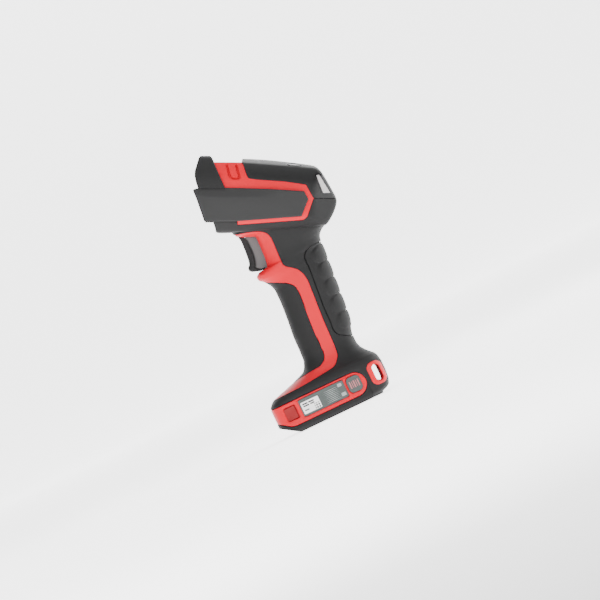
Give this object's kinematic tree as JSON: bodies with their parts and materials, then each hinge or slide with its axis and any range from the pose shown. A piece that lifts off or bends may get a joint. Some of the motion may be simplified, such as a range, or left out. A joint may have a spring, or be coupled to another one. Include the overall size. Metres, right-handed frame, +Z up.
{
  "type": "handheld barcode scanner",
  "caption": "Rugged cordless pistol-grip barcode scanner: hooded angled barrel, side bumpers, trigger, ribbed grip, and a slide-off battery foot with a lanyard eye.",
  "frame": {"origin": "middle of the battery foot's flat resting face, on the mirror plane", "axes": "+Z up from the resting face, -X towards the nose and the trigger, Y across; the part is mirrored about Y=0"},
  "size_m": [0.1057, 0.075, 0.2035],
  "materials": {
    "red_shell": "moulded, satin",
    "red_button": "moulded, fine texture",
    "black_rubber": "soft overmould, fine texture",
    "black_plastic": "moulded, fine texture",
    "grey_rubber": "soft overmould, fine texture",
    "grey_plastic": "moulded, satin",
    "grey_panel": "printed film",
    "white_label": "matt label film",
    "window_plastic": "frosted translucent",
    "dark_glass": "coated",
    "circuit_board": "solder mask",
    "steel": "plated",
    "brass": "plated",
    "cell_sleeve": "shrink sleeve",
    "cable": "plain"
  },
  "bodies": {
    "scanner": {"barrel_housing": "red_shell", "handle_shell_left": "red_shell", "handle_shell_right": "red_shell", "lanyard_eye": "red_shell", "front_grip": "black_rubber", "rear_overmould": "black_rubber", "grip_pad": "black_rubber", "belly_skin": "black_rubber", "nose_hood": "black_rubber", "window_gasket": "black_rubber", "top_cover": "black_plastic", "beeper_grille": "black_plastic", "trigger_bracket": "black_plastic", "trigger_switch": "black_plastic", "engine_chassis": "black_plastic", "beeper": "black_plastic", "side_bumper_left": "grey_rubber", "side_bumper_right": "grey_rubber", "status_window_left": "window_plastic", "status_window_right": "window_plastic", "lamp_upper": "window_plastic", "lamp_lower": "window_plastic", "exit_window": "dark_glass", "imager_lens": "dark_glass", "aimer_lens": "dark_glass", "main_board": "circuit_board", "radio_board": "circuit_board", "status_lamp_board": "circuit_board", "imager_board": "circuit_board", "trigger_pin": "steel", "handle_screw_1": "steel", "handle_screw_2": "steel", "handle_screw_3": "steel", "chassis_screw_1": "steel", "chassis_screw_2": "steel", "chassis_screw_3": "steel", "chassis_screw_4": "steel", "shield_can": "steel", "vibration_motor": "steel", "contact_blade_1": "brass", "contact_blade_2": "brass", "contact_blade_3": "brass", "wiring_harness": "cable"},
    "trigger": {"trigger_lever": "grey_plastic", "trigger_pad": "black_rubber", "trigger_spring": "steel"},
    "battery_pack": {"pack_housing": "red_shell", "pack_skirt": "black_rubber", "battery_cell_left": "cell_sleeve", "battery_cell_right": "cell_sleeve", "pack_board": "circuit_board", "label_panel_left": "grey_panel", "label_panel_right": "grey_panel", "label_left": "white_label", "label_right": "white_label", "badge_left": "grey_panel", "badge_right": "grey_panel"},
    "release_left": {"release_button_left": "red_button"},
    "release_right": {"release_button_right": "red_button"}
  },
  "joints": [
    {"name": "trigger_pull", "type": "hinge", "parent": "scanner", "child": "trigger", "pos_m": [-0.0085, 0, 0.1403], "axis": [0, -1, 0], "range_deg": [0, 7], "stiffness_Nm_per_rad": 0.3, "springref_deg": -5.73},
    {"name": "pack_slide", "type": "slide", "parent": "scanner", "child": "battery_pack", "axis": [-1, 0, 0], "range_m": [0, 0.07]},
    {"name": "release_left_press", "type": "slide", "parent": "battery_pack", "child": "release_left", "axis": [0, 1, 0], "range_m": [0, 0.0015], "stiffness_N_per_m": 1500, "springref_m": -0.001},
    {"name": "release_right_press", "type": "slide", "parent": "battery_pack", "child": "release_right", "axis": [0, -1, 0], "range_m": [0, 0.0015], "stiffness_N_per_m": 1500, "springref_m": -0.001}
  ]
}
